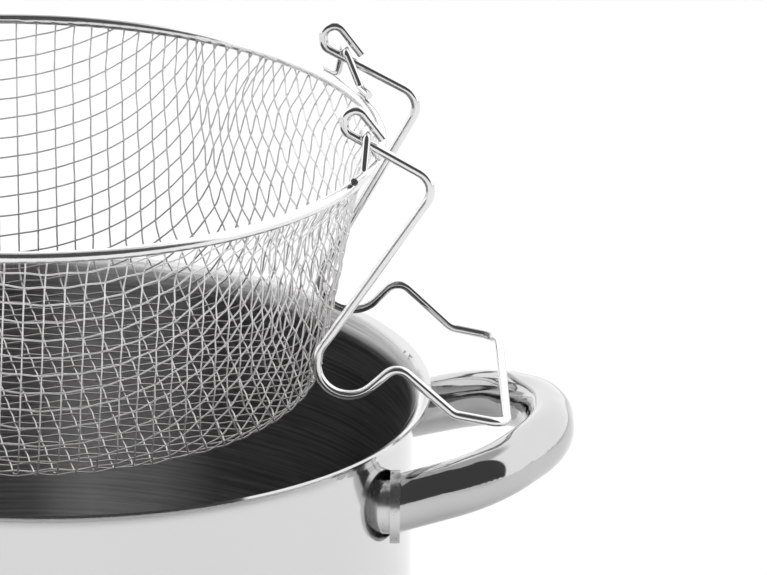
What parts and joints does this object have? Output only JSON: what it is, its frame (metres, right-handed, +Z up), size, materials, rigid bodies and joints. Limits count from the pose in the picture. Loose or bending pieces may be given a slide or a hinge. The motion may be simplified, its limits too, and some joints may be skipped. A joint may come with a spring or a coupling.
{
  "type": "stovetop deep fryer",
  "caption": "Flared steel pot with tubular loop handles and a woven-wire frying basket that hangs above it on hinged wire bows, ready to be lowered into the oil.",
  "frame": {"origin": "centre of the pot's underside, on the table", "axes": "+Z up, +X through the right-hand handle, +Y away from the front"},
  "size_m": [0.3452, 0.2534, 0.2462],
  "materials": {
    "pot_steel": "polished outside, brushed inside",
    "core_aluminium": "enclosed",
    "handle_steel": "mirror polished",
    "wire_steel": "bright drawn wire",
    "mesh_steel": "woven wire cloth"
  },
  "bodies": {
    "pot": {"pot_shell": "pot_steel", "base_core": "core_aluminium", "base_cap": "pot_steel", "handle_right_upper": "handle_steel", "handle_right_lower": "handle_steel", "handle_left_upper": "handle_steel", "handle_left_lower": "handle_steel", "flange_right_front": "handle_steel", "flange_right_rear": "handle_steel", "flange_left_front": "handle_steel", "flange_left_rear": "handle_steel"},
    "basket": {"basket_rim": "wire_steel", "rim_core": "wire_steel", "basket_mesh": "mesh_steel", "bracket_right_front": "wire_steel", "bracket_right_rear": "wire_steel", "bracket_left_front": "wire_steel", "bracket_left_rear": "wire_steel"},
    "bow_right": {"bow_right": "wire_steel"},
    "bow_left": {"bow_left": "wire_steel"}
  },
  "joints": [
    {"name": "basket_slide", "type": "slide", "parent": "pot", "child": "basket", "axis": [-0.1047, 0, 0.9945], "range_m": [-0.085, 0]},
    {"name": "bow_right_hinge", "type": "hinge", "parent": "basket", "child": "bow_right", "pos_m": [0.1046, -0.03272, 0.2373], "axis": [0.0851, -0.9964, 0], "range_deg": [0, 191.8]},
    {"name": "bow_left_hinge", "type": "hinge", "parent": "basket", "child": "bow_left", "pos_m": [-0.1224, 0.03272, 0.2373], "axis": [-0.0851, 0.9964, 0], "range_deg": [0, 191.8]}
  ],
  "couplings": [
    {"joint": "bow_right_hinge", "follows": "basket_slide", "rad_per_m": -39.27},
    {"joint": "bow_left_hinge", "follows": "basket_slide", "rad_per_m": -39.27}
  ]
}
